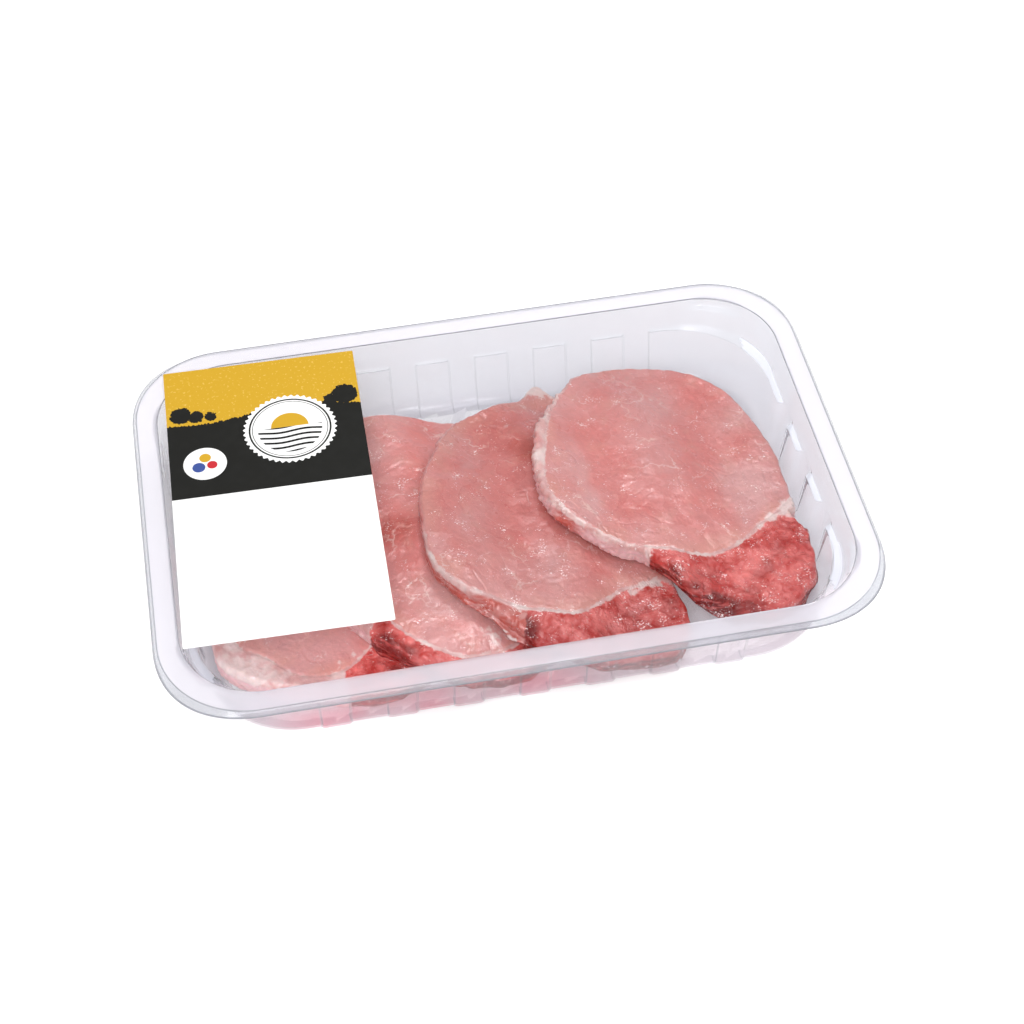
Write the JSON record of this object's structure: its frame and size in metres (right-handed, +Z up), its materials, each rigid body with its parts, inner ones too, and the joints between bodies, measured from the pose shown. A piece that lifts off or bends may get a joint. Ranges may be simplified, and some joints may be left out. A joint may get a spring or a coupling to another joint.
{
  "type": "meat tray pack",
  "caption": "Clear fluted plastic tray sealed with a flat clear film and a plain printed label, holding raw pork loin cutlets laid in an overlapping row.",
  "frame": {"origin": "centre of the tray's underside, on the surface it rests on", "axes": "+X along the tray, away from the label; +Y to the tray's back; +Z up through the film"},
  "size_m": [0.258, 0.1766, 0.0355],
  "materials": {
    "tray_plastic": "clear, slightly milky, glossy",
    "lid_film": "clear, glossy",
    "label_print": "semi-gloss paper with fields of yellow, black and white",
    "eye_meat": "raw lean pork, moist, pale pink",
    "fat": "raw pork fat, moist, cream white",
    "tail_meat": "raw pork, moist, darker red, coarse grain"
  },
  "bodies": {
    "root": {"tray": "tray_plastic", "cutlet_1_eye": "eye_meat", "cutlet_1_fat": "fat", "cutlet_1_tail": "tail_meat", "cutlet_2_eye": "eye_meat", "cutlet_2_fat": "fat", "cutlet_2_tail": "tail_meat", "cutlet_3_eye": "eye_meat", "cutlet_3_fat": "fat", "cutlet_3_tail": "tail_meat", "cutlet_4_eye": "eye_meat", "cutlet_4_fat": "fat", "cutlet_4_tail": "tail_meat", "lid_film": "lid_film", "label": "label_print"}
  },
  "joints": []
}
